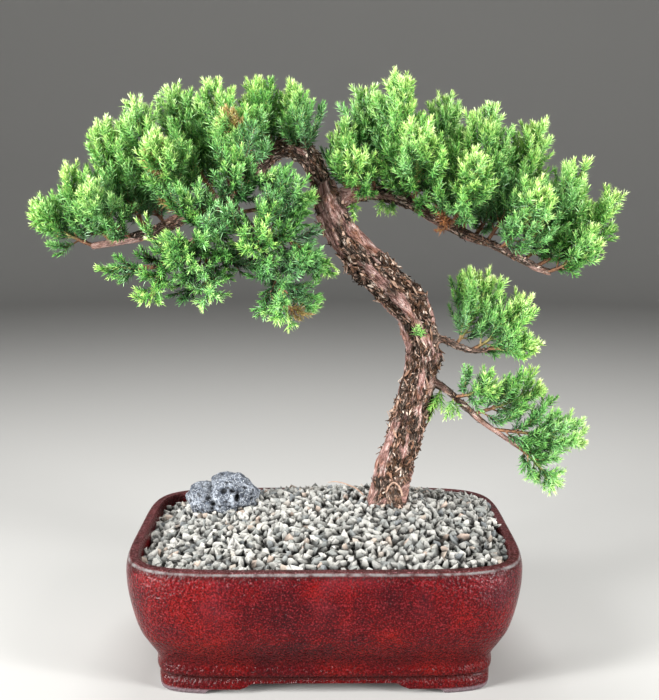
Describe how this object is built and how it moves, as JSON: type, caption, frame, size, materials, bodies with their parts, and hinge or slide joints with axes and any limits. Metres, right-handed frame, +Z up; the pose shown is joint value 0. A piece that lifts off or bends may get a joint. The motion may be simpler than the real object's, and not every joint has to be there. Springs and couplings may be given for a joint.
{
  "type": "procumbens nana juniper bonsai",
  "caption": "Bent juniper bonsai with leafy pads left and right, in a rectangular glazed pot with cloud feet, grey gravel and a lava stone.",
  "frame": {"origin": "on the table, under the middle of the pot and of the whole tree's box", "axes": "+Z up, +X to the right along the pot's long side as seen from the front, +Y from the front to the back"},
  "size_m": [0.4135, 0.205, 0.409],
  "materials": {
    "glaze": "glossy dark red glaze, mottled, brown at the lip and unglazed under the feet",
    "netting": "matte dark netting",
    "soil": "dark gritty bonsai soil",
    "gravel": "dry grey angular chips",
    "lava_stone": "porous grey lava stone with black pits",
    "bark": "peeling reddish and grey-brown bark",
    "foliage": "fresh green needles with a soft waxy sheen"
  },
  "bodies": {
    "root": {"pot": "glaze", "drain_screen_left": "netting", "drain_screen_right": "netting", "soil": "soil", "gravel": "gravel", "lava_stone": "lava_stone", "trunk": "bark", "left_pad_spray_01": "foliage", "left_pad_spray_02": "foliage", "left_pad_spray_03": "foliage", "left_pad_spray_04": "foliage", "left_pad_spray_05": "foliage", "left_pad_spray_06": "foliage", "left_pad_spray_07": "foliage", "left_pad_spray_08": "foliage", "left_pad_spray_09": "foliage", "left_pad_spray_10": "foliage", "left_pad_spray_11": "foliage", "left_pad_spray_12": "foliage", "left_pad_spray_13": "foliage", "left_pad_spray_14": "foliage", "front_pad_spray_01": "foliage", "front_pad_spray_02": "foliage", "front_pad_spray_03": "foliage", "front_pad_spray_04": "foliage", "front_pad_spray_05": "foliage", "front_left_pad_spray_01": "foliage", "front_left_pad_spray_02": "foliage", "front_left_pad_spray_03": "foliage", "front_right_pad_spray_01": "foliage", "front_right_pad_spray_02": "foliage", "front_right_pad_spray_03": "foliage", "front_right_pad_spray_04": "foliage", "right_pad_spray_01": "foliage", "right_pad_spray_02": "foliage", "right_pad_spray_03": "foliage", "right_pad_spray_04": "foliage", "right_pad_spray_05": "foliage", "right_pad_spray_06": "foliage", "right_pad_spray_07": "foliage", "right_pad_spray_08": "foliage", "right_pad_spray_09": "foliage", "right_pad_spray_10": "foliage", "right_pad_spray_11": "foliage", "right_pad_spray_12": "foliage", "right_pad_spray_13": "foliage", "right_pad_spray_14": "foliage", "right_pad_spray_15": "foliage", "right_pad_spray_16": "foliage", "right_pad_spray_17": "foliage", "high_side_pad_spray_01": "foliage", "high_side_pad_spray_02": "foliage", "high_side_pad_spray_03": "foliage", "low_side_pad_spray_01": "foliage", "low_side_pad_spray_02": "foliage", "low_side_pad_spray_03": "foliage", "low_side_pad_spray_04": "foliage"}
  },
  "joints": []
}
